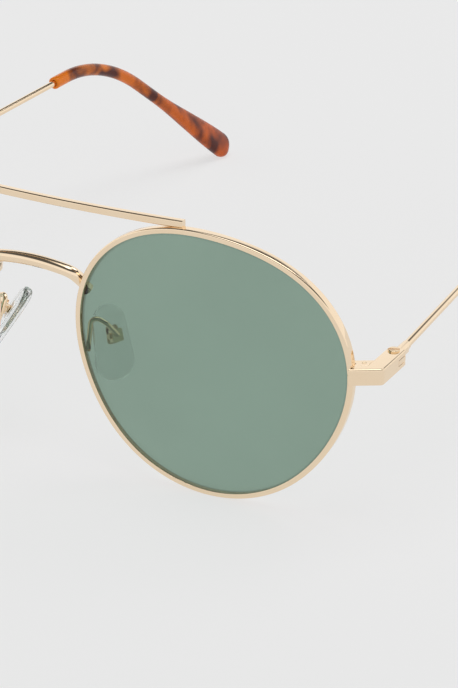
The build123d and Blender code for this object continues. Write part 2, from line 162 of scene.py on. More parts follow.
floorMesh = bpy.data.meshes.new("tableTop")
reach = studio["floorReach"]
floorCorners = [(-reach, -reach, 0), (reach, -reach, 0), (reach, reach, 0), (-reach, reach, 0)]
floorMesh.from_pydata(floorCorners, [], [(0, 1, 2, 3)])
floorObject = bpy.data.objects.new("tableTop", floorMesh)
scene.collection.objects.link(floorObject)
floorMaterial = bpy.data.materials.new("paleTable")
floorMaterial.use_nodes = True
floorShader = floorMaterial.node_tree.nodes["Principled BSDF"]
floorShader.inputs["Base Color"].default_value = studio["floorColor"]
floorShader.inputs["Roughness"].default_value = 1
floorShader.inputs["Specular IOR Level"].default_value = 0
floorShader.inputs["Emission Color"].default_value = (1, 1, 1, 1)
floorShader.inputs["Emission Strength"].default_value = studio["floorGlow"]
floorMesh.materials.append(floorMaterial)
print("studio ready")


# Shader groups that several finishes share
def newGroup(name, inputs, outputs):
    group = bpy.data.node_groups.new(name, "ShaderNodeTree")
    for label, kind, value in inputs:
        socket = group.interface.new_socket(label, in_out="INPUT", socket_type=kind)
        if value is not None:
            socket.default_value = value
    for label, kind in outputs:
        group.interface.new_socket(label, in_out="OUTPUT", socket_type=kind)
    return group, group.nodes.new("NodeGroupInput"), group.nodes.new("NodeGroupOutput")


number = "NodeSocketFloat"
shared = {
    "edgeWidth": 0.15 * mm,
    "edgeFlat": 0.995,  # how far the rounded normal agrees with the flat one, where nothing is worn
    "edgeSharp": 0.86,
    "edgePatches": 900.0,
    "edgeBroken": (0.35, 0.6),
    "driftPatches": 160.0,
    "driftLines": 2500.0,
    "wipeMarks": 90.0,
    "wipeSeen": (0.45, 0.75),
    "specks": 1500.0,
    "speckSize": (0.10, 0.04),
    "speckHeight": 0.5,
    "patchRange": (0.3, 0.7),  # the part of the drift's noise that is used for the polish
}


def remap(tree, value, span, low=0.0, high=1.0):
    limits = {"From Min": span[0], "From Max": span[1], "To Min": low, "To Max": high}
    return node(tree, "ShaderNodeMapRange", {"Value": value, **limits}).outputs[0]


def noise(tree, spot, scale, detail, **more):
    sizes = {"Vector": spot, "Scale": scale, "Detail": detail, **more}
    return node(tree, "ShaderNodeTexNoise", sizes).outputs["Fac"]


def objectSpot(tree):
    return node(tree, "ShaderNodeTexCoord").outputs["Object"]


# 1 along the sharp edges, fading over the given width, broken up by a noise
def buildEdgeWear():
    group, given, result = newGroup(
        "edgeWear",
        [
            ("Width", number, shared["edgeWidth"]),
            ("Patch Scale", number, shared["edgePatches"]),
            ("Amount", number, 1.0),
        ],
        [("Mask", number)],
    )
    rounded = node(group, "ShaderNodeBevel", {"Radius": given.outputs["Width"]}, samples=4).outputs[0]
    flat = node(group, "ShaderNodeNewGeometry").outputs["Normal"]
    both = {0: rounded, 1: flat}
    match = node(group, "ShaderNodeVectorMath", both, operation="DOT_PRODUCT").outputs["Value"]
    bare = remap(group, match, (shared["edgeFlat"], shared["edgeSharp"]))
    patch = noise(group, objectSpot(group), given.outputs["Patch Scale"], 3.0)
    worn = calc(group, "MULTIPLY", bare, remap(group, patch, shared["edgeBroken"]))
    link(group, calc(group, "MULTIPLY", worn, given.outputs["Amount"]), result.inputs["Mask"])
    return group


# A slow change over the surface, about 0 to 1, and fine hairlines for the bump
def buildSurfaceDrift():
    group, given, result = newGroup(
        "surfaceDrift",
        [
            ("Patch Scale", number, shared["driftPatches"]),
            ("Line Scale", number, shared["driftLines"]),
            ("Stretch", "NodeSocketVector", (1, 1, 1)),
        ],
        [("Patches", number), ("Lines", number)],
    )
    spot = objectSpot(group)
    pulled = {0: spot, 1: given.outputs["Stretch"]}
    drawn = node(group, "ShaderNodeVectorMath", pulled, operation="MULTIPLY").outputs[0]
    link(group, noise(group, spot, given.outputs["Patch Scale"], 4.0), result.inputs["Patches"])
    link(group, noise(group, drawn, given.outputs["Line Scale"], 2.0), result.inputs["Lines"])
    return group


# Faint wipe marks and specks, for what is see-through
def buildWipeMarks():
    group, given, result = newGroup(
        "wipeMarks",
        [
            ("Mark Scale", number, shared["wipeMarks"]),
            ("Speck Scale", number, shared["specks"]),
            ("Low", number, 0.0),
            ("High", number, 0.05),
        ],
        [("Roughness", number), ("Height", number)],
    )
    spot = objectSpot(group)
    marks = noise(group, spot, given.outputs["Mark Scale"], 5.0, Distortion=1.5)
    cells = {"Vector": spot, "Scale": given.outputs["Speck Scale"]}
    specks = node(group, "ShaderNodeTexVoronoi", cells).outputs[0]
    dust = remap(group, specks, shared["speckSize"])
    amount = remap(group, marks, shared["wipeSeen"], given.outputs["Low"], given.outputs["High"])
    link(group, amount, result.inputs["Roughness"])
    link(group, calc(group, "MULTIPLY", dust, shared["speckHeight"]), result.inputs["Height"])
    return group


groups = {"edgeWear": buildEdgeWear(), "surfaceDrift": buildSurfaceDrift(), "wipeMarks": buildWipeMarks()}


def newMaterial(name):
    material = bpy.data.materials.new(name)
    material.use_nodes = True
    tree = material.node_tree
    return material, tree, tree.nodes["Principled BSDF"]


def place(tree, groupName, values=None):
    made = tree.nodes.new("ShaderNodeGroup")
    made.node_tree = groups[groupName]
    for name, value in (values or {}).items():
        link(tree, value, made.inputs[name])
    return made.outputs


def mixColors(tree, share, first, second):
    made = tree.nodes.new("ShaderNodeMix")
    made.data_type = "RGBA"
    link(tree, share, made.inputs["Factor"])
    link(tree, first, made.inputs["A"])
    link(tree, second, made.inputs["B"])
    return made.outputs["Result"]


def bump(tree, height, distance):
    return node(tree, "ShaderNodeBump", {"Height": height, "Distance": distance}).outputs[0]


# A plated metal: main colour, a warmer drift in it, a paler worn edge, hairlines in the polish
def platedMetal(name, look):
    material, tree, shader = newMaterial(name)
    drift = place(tree, "surfaceDrift", {"Patch Scale": look["patches"], "Stretch": look["stretch"]})
    wear = place(tree, "edgeWear", {"Amount": look["wear"]})
    body = mixColors(tree, drift["Patches"], look["color"], look["warm"])
    link(tree, mixColors(tree, wear["Mask"], body, look["worn"]), shader.inputs["Base Color"])
    shader.inputs["Metallic"].default_value = 1
    polish = remap(tree, drift["Patches"], shared["patchRange"], *look["roughness"])
    worked = calc(tree, "ADD", polish, calc(tree, "MULTIPLY", wear["Mask"], look["roughEdge"]))
    link(tree, worked, shader.inputs["Roughness"])
    link(tree, bump(tree, drift["Lines"], look["hairline"]), shader.inputs["Normal"])
    return material


goldPlate = {
    "color": (0.94, 0.77, 0.57, 1),
    "warm": (0.91, 0.71, 0.49, 1),
    "worn": (0.97, 0.84, 0.66, 1),
    "wear": 0.4,
    "patches": 140,
    "stretch": (1, 1, 0.2),
    "roughness": (0.07, 0.112),
    "roughEdge": 0.03,
    "hairline": 0.0004 * mm,
}
screwPlate = {
    **goldPlate,
    "color": (0.90, 0.71, 0.48, 1),
    "warm": (0.82, 0.61, 0.38, 1),
    "roughness": (0.14, 0.224),
    "roughEdge": 0.08,
    "hairline": 0.0015 * mm,
}
paleGold = platedMetal("paleGold", goldPlate)
screwGold = platedMetal("screwGold", screwPlate)


# See-through: light that only passes through on its way to the floor goes through a Transparent shader
def tintedGlass(name, look):
    material, tree, shader = newMaterial(name)
    wiped = {"Mark Scale": look["marks"], "Low": look["roughness"][0], "High": look["roughness"][1]}
    marks = place(tree, "wipeMarks", wiped)
    drift = place(tree, "surfaceDrift", {"Patch Scale": look["patches"]})
    tint = mixColors(tree, drift["Patches"], look["color"], look["deeper"])
    # painted shade: the base colour is darkened towards the edge colour where the lens mesh marks its edge
    paintedEdgeShadeMask = node(tree, "ShaderNodeAttribute", attribute_name="paintedEdgeShade").outputs["Fac"]
    link(tree, mixColors(tree, paintedEdgeShadeMask, tint, look["edge"]), shader.inputs["Base Color"])
    link(tree, marks["Roughness"], shader.inputs["Roughness"])
    link(tree, bump(tree, marks["Height"], look["speckHeight"]), shader.inputs["Normal"])
    shader.inputs["Transmission Weight"].default_value = look["clearness"]
    shader.inputs["IOR"].default_value = look["ior"]
    path = node(tree, "ShaderNodeLightPath").outputs
    share = calc(tree, "MAXIMUM", path["Is Shadow Ray"], path["Is Diffuse Ray"])
    clear = node(tree, "ShaderNodeBsdfTransparent", {"Color": look["through"]}).outputs[0]
    mix = node(tree, "ShaderNodeMixShader", {0: share, 1: shader.outputs[0], 2: clear}).outputs[0]
    link(tree, mix, tree.nodes["Material Output"].inputs["Surface"])
    return material


lensGlass = {
    "color": (0.28, 0.405, 0.325, 1),
    "deeper": (0.2408, 0.3483, 0.2795, 1),
    # the colour of the painted shade along the lens edge
    "edge": (0.05, 0.06, 0.03, 1),
    "through": (0.62, 0.72, 0.66, 1),
    "ior": 1.5,
    "clearness": 1.0,
    "roughness": (0.0, 0.03),
    "marks": 60,
    "patches": 45,
    "speckHeight": 0.002 * mm,
}
padSilicone = {
    "color": (0.99, 1, 1, 1),
    "deeper": (0.8514, 0.86, 0.86, 1),
    "edge": (1, 1, 1, 1),
    "through": (0.95, 0.96, 0.96, 1),
    "ior": 1.40,
    "clearness": 0.97,
    "roughness": (0.04, 0.12),
    "marks": 220,
    "patches": 45,
    "speckHeight": 0.01 * mm,
}
greenGlass = tintedGlass("greenGlass", lensGlass)
clearSilicone = tintedGlass("clearSilicone", padSilicone)


# Tortoise: dark brown blotches in orange, deeper and redder towards the ear end
def tortoiseShell(name, look):
    material, tree, shader = newMaterial(name)
    spot = objectSpot(tree)
    blotch = noise(tree, spot, look["blotches"], 2.0, Roughness=0.45, Distortion=0.3)
    cloud = noise(tree, spot, look["clouds"], 2.0)
    depth = node(tree, "ShaderNodeSeparateXYZ", {0: spot}).outputs["Y"]
    deeper = remap(tree, depth, look["deepening"])
    orange = mixColors(tree, cloud, look["orange"], look["amber"])
    reddish = mixColors(tree, deeper, orange, look["red"])
    limit = remap(tree, deeper, (0.0, 1.0), *look["blotchLimit"])
    dark = remap(tree, calc(tree, "SUBTRACT", blotch, limit), look["blotchEdge"])
    link(tree, mixColors(tree, dark, reddish, look["brown"]), shader.inputs["Base Color"])
    shader.inputs["Coat Weight"].default_value = look["coat"]
    shader.inputs["Coat Roughness"].default_value = look["coatRoughness"]
    shader.inputs["Specular IOR Level"].default_value = look["gloss"]
    drift = place(tree, "surfaceDrift")
    polish = remap(tree, drift["Patches"], shared["patchRange"], *look["roughness"])
    link(tree, polish, shader.inputs["Roughness"])
    link(tree, bump(tree, drift["Patches"], look["waviness"]), shader.inputs["Normal"])
    return material


tipAcetate = {
    "orange": (0.95, 0.29, 0.006, 1),
    "amber": (0.74, 0.145, 0.006, 1),
    "red": (0.52, 0.085, 0.012, 1),
    "brown": (0.085, 0.014, 0.008, 1),
    "blotches": 150.0,
    "clouds": 120.0,
    "deepening": (0.020, 0.077),  # from the sleeve to the end of the tip, in metres along Y
    "blotchLimit": (0.585, 0.53),
    "blotchEdge": (-0.10, 0.08),
    "coat": 0.15,
    "coatRoughness": 0.04,
    "gloss": 0.25,
    "roughness": (0.14, 0.26),
    "waviness": 0.02 * mm,
}
tortoise = tortoiseShell("tortoise", tipAcetate)
print("finishes ready")


# Geometry Nodes helpers
def newTree(name, sizes, takesMesh=False):  # whole sizes are counts, the others are plain numbers
    tree = bpy.data.node_groups.new(name, "GeometryNodeTree")
    if takesMesh:
        tree.interface.new_socket("Path", in_out="INPUT", socket_type="NodeSocketGeometry")
    for label, value in sizes.items():
        kind = "NodeSocketInt" if isinstance(value, int) else number
        tree.interface.new_socket(label, in_out="INPUT", socket_type=kind).default_value = value
    tree.interface.new_socket("Finish", in_out="INPUT", socket_type="NodeSocketMaterial")
    tree.interface.new_socket("Piece", in_out="OUTPUT", socket_type="NodeSocketGeometry")
    return tree, tree.nodes.new("NodeGroupInput"), tree.nodes.new("NodeGroupOutput")


def pointSpot(tree):  # the X, Y and Z of each point
    place = node(tree, "GeometryNodeInputPosition").outputs[0]
    return node(tree, "ShaderNodeSeparateXYZ", {0: place}).outputs


def closeTree(tree, given, result, geometry):  # every tree ends the same way
    smooth = node(tree, "GeometryNodeSetShadeSmooth", {"Geometry": geometry}).outputs[0]
    real = node(tree, "GeometryNodeRealizeInstances", {"Geometry": smooth}).outputs[0]
    dressed = {"Geometry": real, "Material": given.outputs["Finish"]}
    link(tree, node(tree, "GeometryNodeSetMaterial", dressed).outputs[0], result.inputs[0])


# Runs a tree and keeps its result as a plain mesh
def growPiece(name, tree, values, finish, startMesh=None):
    seed = bpy.data.objects.new(name, startMesh or bpy.data.meshes.new(name + "Seed"))
    scene.collection.objects.link(seed)
    grower = seed.modifiers.new("grow", "NODES")
    grower.node_group = tree
    keys = {item.name: item.identifier for item in tree.interface.items_tree if item.in_out == "INPUT"}
    for label, value in values.items():
        grower[keys[label]] = value
    grower[keys["Finish"]] = finish
    grown = bpy.data.meshes.new_from_object(seed.evaluated_get(bpy.context.evaluated_depsgraph_get()))
    seed.modifiers.remove(grower)
    seed.data = grown
    grown.name = name
    return seed


def keepPiece(piece, body, slotName, *nodes):
    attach(piece, body)
    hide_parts(*nodes)
    return piece


def sharpen(mesh, angle=32):
    mesh.shade_smooth()
    mesh.set_sharp_from_angle(angle=radians(angle))


def outwards(piece, merge=1e-7):  # merged, with every face pointing out
    shape = bmesh.new()
    shape.from_mesh(piece.data)
    bmesh.ops.remove_doubles(shape, verts=shape.verts, dist=merge)
    bmesh.ops.recalc_face_normals(shape, faces=shape.faces)
    shape.to_mesh(piece.data)
    shape.free()


# Eye rims and lenses share one outline: an oval with its two upper corners filled
lensOutline = {
    "halfWidth": 23.84,
    "halfHeight": 24.25,
    "innerCorner": 3.2,
    "innerAngle": 141.4,
    "innerSharpness": 3.9,
    "outerCorner": 3.16,
    "outerAngle": 24.5,
    "outerSharpness": 4.0,
    "gap": 22.36,
    "wrap": 4.3,
    "setback": 2.37,
}
eyeRim = {
    "face": 1.0,
    "depth": 1.8,
    "outerRounding": 0.3,
    "innerRounding": 0.10,
    "split": 0.16,
    "splitRise": 4.6,  # the split is level with the middle of the endpiece, above the lens centre
    "splitReach": 26,
    "steps": 288,
}
lensX = lensOutline["gap"] / 2 + lensOutline["halfWidth"]
lensZ = lensOutline["halfHeight"] + eyeRim["face"]


def lensPlane(side):  # x towards the temple, y up, z to the front; the right one is turned, and not mirrored
    wrap = radians(lensOutline["wrap"])
    across = Vector((cos(wrap), side * sin(wrap), 0))
    forward = Vector((side * sin(wrap), -cos(wrap), 0))
    turned = Matrix((across, Vector((0, 0, 1)), forward)).transposed().to_4x4()
    return Matrix.Translation(inFrame(lensX, lensOutline["setback"], lensZ, side)) @ turned


def edgeRadius(angle):  # millimetres from the lens centre to the lens edge
    across, up = cos(angle), sin(angle)
    radius = lensOutline["halfWidth"] * lensOutline["halfHeight"]
    radius /= hypot(lensOutline["halfHeight"] * across, lensOutline["halfWidth"] * up)
    for corner in ("inner", "outer"):
        lean = max(0, cos(angle - radians(lensOutline[corner + "Angle"])))
        radius += lensOutline[corner + "Corner"] * lean ** lensOutline[corner + "Sharpness"]
    return radius


splitAngle = 0
for attempt in range(4):
    splitAngle = asin(eyeRim["splitRise"] / (edgeRadius(splitAngle) + eyeRim["face"] / 2))


def rimSizes(side):
    return {
        "Half Width": lensOutline["halfWidth"] * mm,
        "Half Height": lensOutline["halfHeight"] * mm,
        "Inner Corner": lensOutline["innerCorner"] * mm,
        "Inner Angle": radians(lensOutline["innerAngle"]),
        "Inner Sharpness": lensOutline["innerSharpness"],
        "Outer Corner": lensOutline["outerCorner"] * mm,
        "Outer Angle": radians(lensOutline["outerAngle"]),
        "Outer Sharpness": lensOutline["outerSharpness"],
        "Side": float(side),
        "Face": eyeRim["face"] * mm,
        "Depth": eyeRim["depth"] * mm,
        "Outer Rounding": eyeRim["outerRounding"] * mm,
        "Inner Rounding": eyeRim["innerRounding"] * mm,
        "Split Angle": splitAngle,
        "Split Half": eyeRim["split"] / 2 / eyeRim["splitReach"],
        "Steps": eyeRim["steps"],
    }


# The rim's centre line follows the outline, and its section is swept along it
def buildRimTree():
    tree, given, result = newTree("eyeRimSweep", rimSizes(1))
    get = given.outputs
    begin = calc(tree, "ADD", get["Split Angle"], get["Split Half"])
    sweep = calc(tree, "SUBTRACT", 2 * pi, calc(tree, "MULTIPLY", get["Split Half"], 2.0))
    arc = node(
        tree,
        "GeometryNodeCurveArc",
        {"Resolution": get["Steps"], "Radius": 1.0, "Start Angle": begin, "Sweep Angle": sweep},
    ).outputs["Curve"]
    spot = pointSpot(tree)
    angle = calc(tree, "ARCTAN2", spot["Y"], spot["X"])
    across, up = calc(tree, "COSINE", angle), calc(tree, "SINE", angle)
    tall = calc(tree, "MULTIPLY", get["Half Height"], across)
    wide = calc(tree, "MULTIPLY", get["Half Width"], up)
    squares = calc(tree, "ADD", calc(tree, "MULTIPLY", tall, tall), calc(tree, "MULTIPLY", wide, wide))
    length = calc(tree, "SQRT", squares)
    radius = calc(tree, "DIVIDE", calc(tree, "MULTIPLY", get["Half Width"], get["Half Height"]), length)
    for corner in ("Inner", "Outer"):
        lean = calc(tree, "COSINE", calc(tree, "SUBTRACT", angle, get[corner + " Angle"]))
        fill = calc(tree, "POWER", calc(tree, "MAXIMUM", lean, 0.0), get[corner + " Sharpness"])
        radius = calc(tree, "ADD", radius, calc(tree, "MULTIPLY", fill, get[corner + " Corner"]))
    radius = calc(tree, "ADD", radius, calc(tree, "MULTIPLY", get["Face"], 0.5))
    outline = node(
        tree,
        "ShaderNodeCombineXYZ",
        {
            "X": calc(tree, "MULTIPLY", calc(tree, "MULTIPLY", radius, across), get["Side"]),
            "Y": calc(tree, "MULTIPLY", radius, up),
        },
    ).outputs[0]
    placed = node(tree, "GeometryNodeSetPosition", {"Geometry": arc, "Position": outline}).outputs[0]
    upright = node(tree, "GeometryNodeSetCurveNormal", {"Curve": placed}, mode="Z_UP").outputs[0]
    section = node(
        tree, "GeometryNodeCurvePrimitiveQuadrilateral", {"Width": get["Face"], "Height": get["Depth"]}
    ).outputs[0]
    away = pointSpot(tree)["X"]
    outer = calc(tree, "GREATER_THAN", calc(tree, "MULTIPLY", away, get["Side"]), 0.0)
    spread = calc(tree, "SUBTRACT", get["Outer Rounding"], get["Inner Rounding"])
    rounding = calc(tree, "ADD", get["Inner Rounding"], calc(tree, "MULTIPLY", outer, spread))
    rounded = node(
        tree,
        "GeometryNodeFilletCurve",
        {"Curve": section, "Count": 5, "Limit Radius": True, "Radius": rounding},
        mode="POLY",
    ).outputs[0]
    swept = node(
        tree, "GeometryNodeCurveToMesh", {"Curve": upright, "Profile Curve": rounded, "Fill Caps": True}
    ).outputs[0]
    closeTree(tree, given, result, swept)
    return tree


rimTree = buildRimTree()
for name, side in sides.items():
    rimPiece = growPiece(f"eyeRim_{name}", rimTree, rimSizes(side), paleGold)
    rimPiece.data.transform(lensPlane(side))
    outwards(rimPiece)
    sharpen(rimPiece.data, 50)
    keepPiece(rimPiece, "front", "gold", f"rim_{name}")

# Lenses: two spherical faces and the edge that sits in the rim's groove, with a painted shade along that
# edge
lensShape = {
    "thickness": 1.5,
    "frontRadius": 150,
    "tongue": 0.40,
    "rings": 23,
    "spokes": 160,
    "paintedShadeFrom": 0.966,  # the painted shade along the lens edge begins here
    "edgeRings": [0.977, 1.0],
    "paintedShadeSide": 220,  # and the painted shade is deepest towards this angle
    "paintedShadeLeast": 0.3,
}


def buildLens(name, side):
    rings, spokes = lensShape["rings"], lensShape["spokes"]
    half = lensShape["thickness"] / 2
    drop = sqrt(lensShape["frontRadius"] ** 2 - lensOutline["halfHeight"] ** 2) - half
    places, faces, paintedShades = [], [], []
    inner = rings - len(lensShape["edgeRings"])
    shares = [lensShape["paintedShadeFrom"] * ring / inner for ring in range(1, inner + 1)] + lensShape["edgeRings"]
    for ball in (lensShape["frontRadius"], lensShape["frontRadius"] - lensShape["thickness"]):
        places.append((0, 0, ball - drop))
        paintedShades.append(0)
        for ring, share in enumerate(shares):
            for spoke in range(spokes):
                angle = 2 * pi * spoke / spokes
                reach = (edgeRadius(angle) + lensShape["tongue"]) * share
                height = sqrt(ball**2 - reach**2) - drop
                places.append((side * reach * cos(angle), reach * sin(angle), height))
                # painted shade: the outer rings are weighted for darkening, most towards one side of the
                # lens and never fully clear
                shadeFacing = max(0, cos(angle - radians(lensShape["paintedShadeSide"])))
                least = lensShape["paintedShadeLeast"]
                paintedShades.append((least + (1 - least) * shadeFacing) if ring >= inner else 0)
    sheetSize = 1 + rings * spokes
    for sheet in range(2):
        first = sheet * sheetSize
        for spoke in range(spokes):
            after = (spoke + 1) % spokes
            faces.append((first, first + 1 + spoke, first + 1 + after))
            for ring in range(rings - 1):
                near = first + 1 + ring * spokes
                faces.append((near + spoke, near + spokes + spoke, near + spokes + after, near + after))
    rim = 1 + (rings - 1) * spokes
    for spoke in range(spokes):
        after = (spoke + 1) % spokes
        faces.append((rim + spoke, sheetSize + rim + spoke, sheetSize + rim + after, rim + after))
    mesh = bpy.data.meshes.new(f"tintedLens_{name}")
    mesh.from_pydata([Vector(spot) * mm for spot in places], [], faces)
    mesh.transform(lensPlane(side))
    # painted shade weights, which the lens material reads to darken the edge
    mesh.attributes.new("paintedEdgeShade", "FLOAT", "POINT").data.foreach_set("value", paintedShades)
    lens = bpy.data.objects.new(f"tintedLens_{name}", mesh)
    scene.collection.objects.link(lens)
    mesh.materials.append(greenGlass)
    outwards(lens)
    sharpen(mesh, 40)
    return keepPiece(lens, "front", "green_glass", f"lens_{name}")


for name, side in sides.items():
    buildLens(name, side)
print("rims and lenses made")


# Rods and wires: a path with a bend radius at each corner, swept as a round tube
wireSteps = {"Bend Steps": 24, "Sides": 32}


def buildWireTree():
    tree, given, result = newTree("bentWire", {"Radius": 0.5 * mm, **wireSteps}, takesMesh=True)
    get = given.outputs
    path = node(tree, "GeometryNodeMeshToCurve", {"Mesh": get["Path"]}).outputs[0]
    asked = node(tree, "GeometryNodeInputNamedAttribute", {"Name": "bendRadius"}, data_type="FLOAT")
    bent = node(
        tree,
        "GeometryNodeFilletCurve",
        {"Curve": path, "Count": get["Bend Steps"], "Limit Radius": True, "Radius": asked.outputs[0]},
        mode="POLY",
    ).outputs[0]
    circle = {"Resolution": get["Sides"], "Radius": get["Radius"]}
    ring = node(tree, "GeometryNodeCurvePrimitiveCircle", circle).outputs["Curve"]
    swept = {"Curve": bent, "Profile Curve": ring, "Fill Caps": True}
    tube = node(tree, "GeometryNodeCurveToMesh", swept).outputs[0]
    closeTree(tree, given, result, tube)
    return tree


wireTree = buildWireTree()


def bendWire(name, points, bends, radius, finish, sides=32):
    mesh = bpy.data.meshes.new(name + "Path")
    mesh.from_pydata(points, [(i, i + 1) for i in range(len(points) - 1)], [])
    mesh.attributes.new("bendRadius", "FLOAT", "POINT").data.foreach_set("value", bends)
    piece = growPiece(name, wireTree, {**wireSteps, "Radius": radius, "Sides": sides}, finish, mesh)
    outwards(piece)
    sharpen(piece.data, 40)
    return piece


bridgeRod = {
    "radius": 1.15,
    "top": (0, 0, 40.1),
    "shoulder": (8.18, 0.3, 38.75),
    "foot": (10.28, 2.66, 35.15),
    "crownBend": 40,
    "sides": 48,
    "shoulderBend": 2.6,
}
rodPoints = [
    inFrame(*bridgeRod["foot"], -1),
    inFrame(*bridgeRod["shoulder"], -1),
    inFrame(*bridgeRod["top"]),
    inFrame(*bridgeRod["shoulder"]),
    inFrame(*bridgeRod["foot"]),
]
shoulderBend, crownBend = bridgeRod["shoulderBend"] * mm, bridgeRod["crownBend"] * mm
rodBends = [0, shoulderBend, crownBend, shoulderBend, 0]
rod = bendWire("archBridge", rodPoints, rodBends, bridgeRod["radius"] * mm, paleGold, bridgeRod["sides"])
keepPiece(rod, "front", "gold", "bridge")

templeWire = {
    "radius": 0.7,
    "start": 3.4,
    "bend": (62.059, 116.807, 34.25),
    "tip": (49.159, 154.007, 1.1),
    "bendRadius": 34,
    "endShort": 7.0,
}
for name, side in sides.items():
    hinge = jointAt[f"temple_fold_{name}"].copy()
    bendSpot = inFrame(*templeWire["bend"], side)
    tipSpot = inFrame(*templeWire["tip"], side)
    run = (bendSpot - hinge).normalized()
    drop = (tipSpot - bendSpot).normalized()
    wire = bendWire(
        f"templeWire_{name}",
        [hinge + run * templeWire["start"] * mm, bendSpot, tipSpot - drop * templeWire["endShort"] * mm],
        [0, templeWire["bendRadius"] * mm, 0],
        templeWire["radius"] * mm,
        paleGold,
    )
    keepPiece(wire, f"temple_{name}", "gold", f"temple_wire_{name}")


# Brow bar: a rounded square section along an arc
browBar = {"bowRadius": 261, "halfLength": 30.37, "height": 1.4, "depth": 1.35, "rounding": 0.3, "steps": 64}
barSizes = {
    "Bow Radius": (browBar["bowRadius"] - browBar["depth"] / 2) * mm,
    "Half Angle": browBar["halfLength"] / browBar["bowRadius"],
    "Height": browBar["height"] * mm,
    "Depth": browBar["depth"] * mm,
    "Rounding": browBar["rounding"] * mm,
    "Steps": browBar["steps"],
}


def buildBarTree():
    tree, given, result = newTree("browBarSweep", barSizes)
    get = given.outputs
    begin = calc(tree, "SUBTRACT", 1.5 * pi, get["Half Angle"])
    arc = node(
        tree,
        "GeometryNodeCurveArc",
        {
            "Resolution": get["Steps"],
            "Radius": get["Bow Radius"],
            "Start Angle": begin,
            "Sweep Angle": calc(tree, "MULTIPLY", get["Half Angle"], 2.0),
        },
    ).outputs["Curve"]
    upright = node(tree, "GeometryNodeSetCurveNormal", {"Curve": arc}, mode="Z_UP").outputs[0]
    section = node(
        tree, "GeometryNodeCurvePrimitiveQuadrilateral", {"Width": get["Depth"], "Height": get["Height"]}
    ).outputs[0]
    rounded = node(
        tree,
        "GeometryNodeFilletCurve",
        {"Curve": section, "Count": 6, "Limit Radius": True, "Radius": get["Rounding"]},
        mode="POLY",
    ).outputs[0]
    swept = node(
        tree, "GeometryNodeCurveToMesh", {"Curve": upright, "Profile Curve": rounded, "Fill Caps": True}
    ).outputs[0]
    closeTree(tree, given, result, swept)
    return tree


bar = growPiece("straightBrowBar", buildBarTree(), barSizes, paleGold)
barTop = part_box("brow_bar")[1].z
barMiddle = barTop - browBar["height"] / 2 * mm
bar.data.transform(Matrix.Translation((0, frontY + browBar["bowRadius"] * mm, barMiddle)))
outwards(bar)
sharpen(bar.data, 50)
keepPiece(bar, "front", "gold", "brow_bar")
print("bar, bridge and wires made")


# Pieces that keep the solid's own shape: a merged copy with its edges broken
copyShape = {"merge": 1e-6, "flatWithin": 0.5, "smoothWithin": 30, "bevelFrom": 32, "bevelSegments": 3}


def finishedCopy(name, cadNode, body, slotName, finish, bevel):
    piece = bpy.data.objects.new(name, frame["nodes"][cadNode].data.copy())
    scene.collection.objects.link(piece)
    piece.data.materials.clear()
    piece.data.materials.append(finish)
    shape = bmesh.new()
    shape.from_mesh(piece.data)
    bmesh.ops.remove_doubles(shape, verts=shape.verts, dist=copyShape["merge"])
    flat = radians(copyShape["flatWithin"])
    points, edges = shape.verts, shape.edges
    bmesh.ops.dissolve_limit(shape, angle_limit=flat, verts=points, edges=edges, delimit={"NORMAL"})
    shape.to_mesh(piece.data)
    shape.free()
    sharpen(piece.data, copyShape["smoothWithin"])
    if bevel:
        breaker = piece.modifiers.new("breakEdges", "BEVEL")
        breaker.width = bevel * mm
        breaker.segments = copyShape["bevelSegments"]
        breaker.limit_method = "ANGLE"
        breaker.angle_limit = radians(copyShape["bevelFrom"])
        breaker.use_clamp_overlap = True
        breaker.harden_normals = False
    return keepPiece(piece, body, slotName, cadNode)


copies = [  # name, solid, body, slot, finish, and how far its edges are broken in millimetres
    ("endBlock", "endpiece", "front", "gold", paleGold, 0.08),
    ("clampUpper", "closing_block_upper", "front", "gold", paleGold, 0.10),
    ("clampLower", "closing_block_lower", "front", "gold", paleGold, 0.10),
    ("clampScrew", "closing_screw", "front", "screw_metal", screwGold, 0.03),
    ("pivotScrew", "hinge_screw", "front", "screw_metal", screwGold, 0.04),
    ("padWireArm", "pad_arm", "front", "gold", paleGold, 0),
    ("padCheeks", "pad_box", "front", "gold", paleGold, 0.05),
    ("padRivet", "pad_pin", "front", "screw_metal", screwGold, 0),
    ("hingeCollar", "temple_hinge", "temple", "gold", paleGold, 0.06),
    ("padPlate", "pad_insert", "pad", "screw_metal", screwGold, 0.04),
]
for name in sides:
    for label, cadNode, body, slotName, finish, bevel in copies:
        rides = body if body == "front" else f"{body}_{name}"
        finishedCopy(f"{label}_{name}", f"{cadNode}_{name}", rides, slotName, finish, bevel)

# Temple tips: a sleeve over the bend that widens into a flat paddle
templeTip = {
    "sleeveRadius": 1.42,
    "sleeveStart": 19.0,
    "paddleGap": 22.0,
    "paddleHalf": 3.2,
    "bore": 0.75,
    "boreDepth": 3.0,
    "boreChamfer": 0.12,
    "sides": 40,
    "step": 0.5,
    "mouthRounding": 0.25,
    "mouthTurns": (0, 0.33, 0.66),
    "boxiness": 0.28,  # how far the paddle's section is squared
    "boxyBy": 3,
    "taperFrom": 0.93,
    "endLeft": 0.02,  # the end closes on a face this small
}


